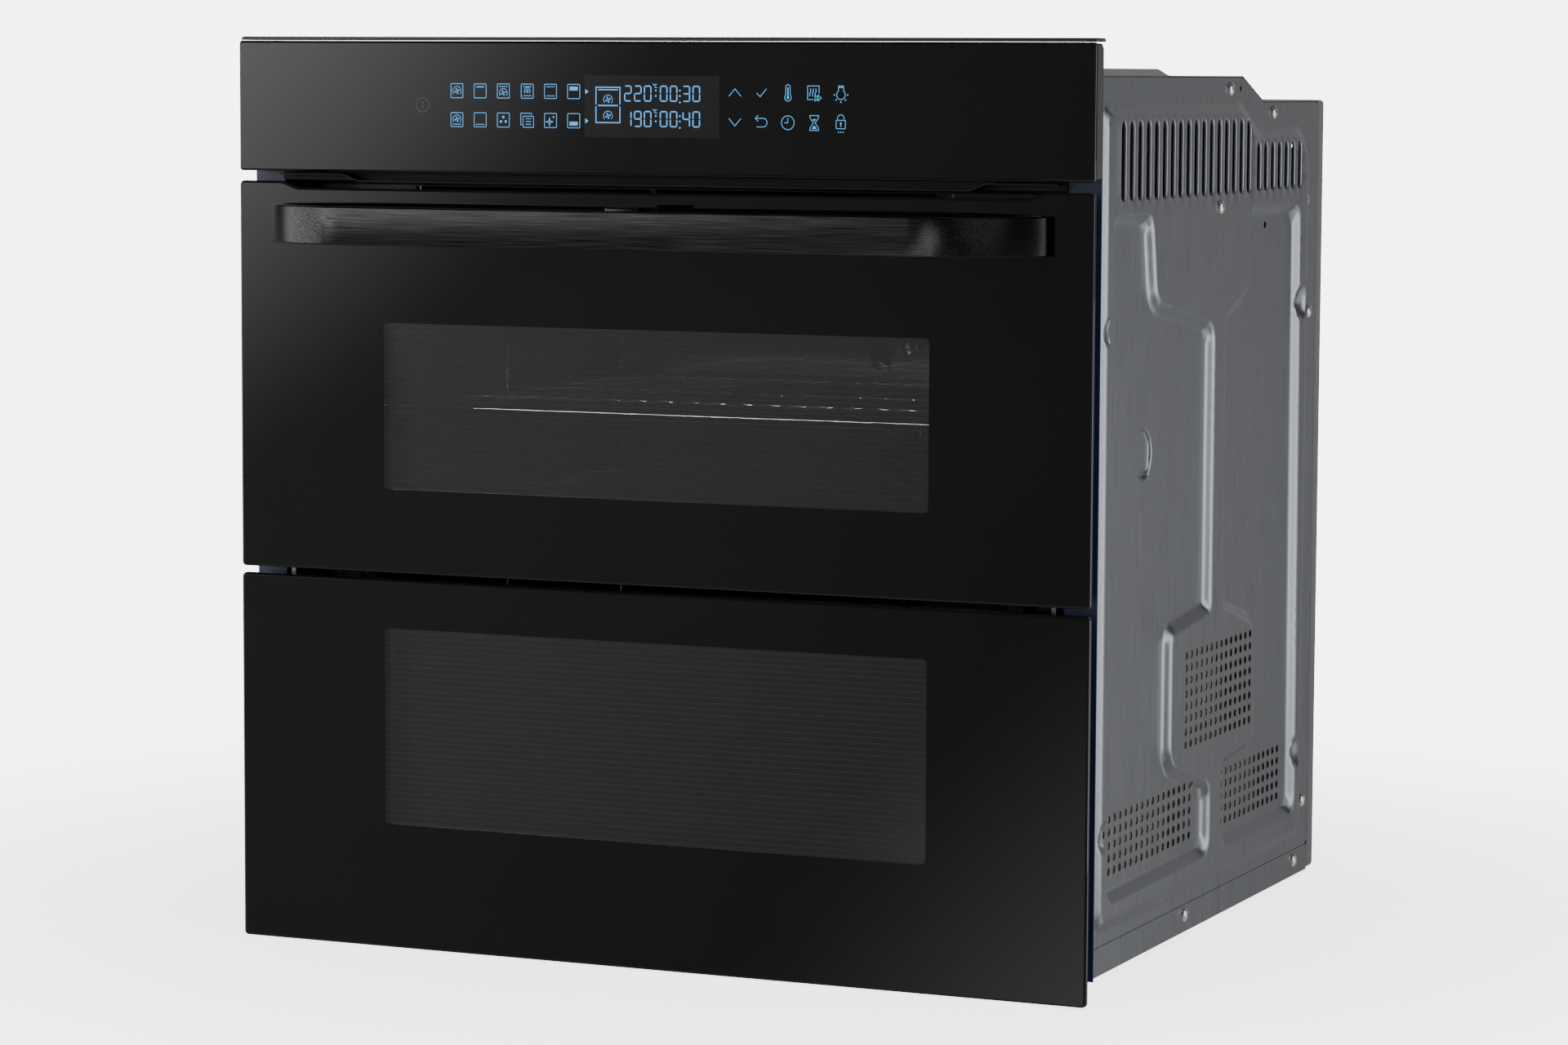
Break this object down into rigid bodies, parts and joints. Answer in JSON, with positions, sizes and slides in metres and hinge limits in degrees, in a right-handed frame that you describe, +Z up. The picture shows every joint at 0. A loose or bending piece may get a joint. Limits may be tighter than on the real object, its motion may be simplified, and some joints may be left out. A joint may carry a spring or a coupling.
{
  "type": "built-in wall oven",
  "caption": "Built-in electric oven with a black glass front, touch panel and a two-part door: it opens whole from the bottom, or only its upper half with the bowed handle.",
  "frame": {"origin": "on the underside of the base tray, midway between the sides and midway between the back and the rear face of the front flange", "axes": "+Z up, -Y towards the front (the glass faces -Y), +X to the right seen from the front"},
  "size_m": [0.595, 0.6, 0.596],
  "materials": {
    "galvanised_steel": "galvanised sheet, fine vertical brushing",
    "bright_steel": "bare bright steel",
    "chromed_wire": "chromed wire",
    "navy_enamel": "dark blue vitreous enamel",
    "cavity_enamel": "dark speckled vitreous enamel",
    "mineral_wool": "compressed glass wool",
    "black_glass": "black-printed toughened glass",
    "clear_glass": "clear toughened glass",
    "black_plastic": "satin black",
    "black_brushed_steel": "black, brushed along its length",
    "silicone": "matt black silicone",
    "circuit_board": "green resin board"
  },
  "bodies": {
    "oven": {"air_duct": "galvanised_steel", "back_panel": "galvanised_steel", "base_tray": "galvanised_steel", "blower_housing": "galvanised_steel", "blower_motor": "bright_steel", "bottom_element": "bright_steel", "cavity_liner": "cavity_enamel", "control_glass": "black_glass", "display_module": "black_plastic", "divider_plate": "cavity_enamel", "door_gasket": "silicone", "fan_baffle": "cavity_enamel", "fan_motor_lower": "bright_steel", "fan_motor_upper": "bright_steel", "front_frame": "navy_enamel", "grill_element": "bright_steel", "hinge_hook_left": "bright_steel", "hinge_hook_right": "bright_steel", "hinge_receiver_left": "galvanised_steel", "hinge_receiver_right": "galvanised_steel", "insulation": "mineral_wool", "lamp_bulb": "clear_glass", "lamp_holder": "bright_steel", "lamp_lens": "clear_glass", "panel_cap": "black_plastic", "panel_housing": "black_plastic", "power_board": "circuit_board", "ring_heater_lower": "bright_steel", "ring_heater_upper": "bright_steel", "side_panel_left": "galvanised_steel", "side_panel_right": "galvanised_steel", "side_rack_left": "chromed_wire", "side_rack_right": "chromed_wire", "temperature_probe": "bright_steel", "terminal_block": "black_plastic", "top_cover": "galvanised_steel", "touch_board": "circuit_board", "wire_rack": "chromed_wire"},
    "main_door": {"lower_door_frame": "galvanised_steel", "lower_door_glass": "black_glass", "lower_inner_glass": "clear_glass", "lower_middle_glass": "clear_glass", "main_hinge_pin_left": "bright_steel", "main_hinge_pin_right": "bright_steel", "mid_hinge_bracket_left": "bright_steel", "mid_hinge_bracket_right": "bright_steel", "mid_hinge_pin_left": "bright_steel", "mid_hinge_pin_right": "bright_steel"},
    "upper_door": {"handle_bar": "black_brushed_steel", "handle_screw_left": "bright_steel", "handle_screw_right": "bright_steel", "upper_door_frame": "galvanised_steel", "upper_door_glass": "black_glass", "upper_inner_glass": "clear_glass", "upper_middle_glass": "clear_glass"},
    "release": {"release_lever": "black_brushed_steel"},
    "upper_fan": {"fan_wheel_upper": "bright_steel"},
    "lower_fan": {"fan_wheel_lower": "bright_steel"},
    "blower": {"blower_wheel": "black_plastic"}
  },
  "joints": [
    {"name": "main_door_hinge", "type": "hinge", "parent": "oven", "child": "main_door", "pos_m": [0, -0.266, 0.02], "axis": [1, 0, 0], "range_deg": [0, 90], "stiffness_Nm_per_rad": 12, "springref_deg": -14.32},
    {"name": "upper_door_hinge", "type": "hinge", "parent": "main_door", "child": "upper_door", "pos_m": [0, -0.2745, 0.25], "axis": [1, 0, 0], "range_deg": [0, 90], "stiffness_Nm_per_rad": 3.5, "springref_deg": -20.05},
    {"name": "release_slide", "type": "slide", "parent": "upper_door", "child": "release", "axis": [0, 0, -1], "range_m": [0, 0.002], "stiffness_N_per_m": 350, "springref_m": -0.002},
    {"name": "upper_fan_spin", "type": "hinge", "parent": "oven", "child": "upper_fan", "pos_m": [0, 0.176, 0.342], "axis": [0, 1, 0], "continuous": true},
    {"name": "lower_fan_spin", "type": "hinge", "parent": "oven", "child": "lower_fan", "pos_m": [0, 0.176, 0.149], "axis": [0, 1, 0], "continuous": true},
    {"name": "blower_spin", "type": "hinge", "parent": "oven", "child": "blower", "pos_m": [0, -0.01, 0.505], "axis": [1, 0, 0], "continuous": true}
  ]
}
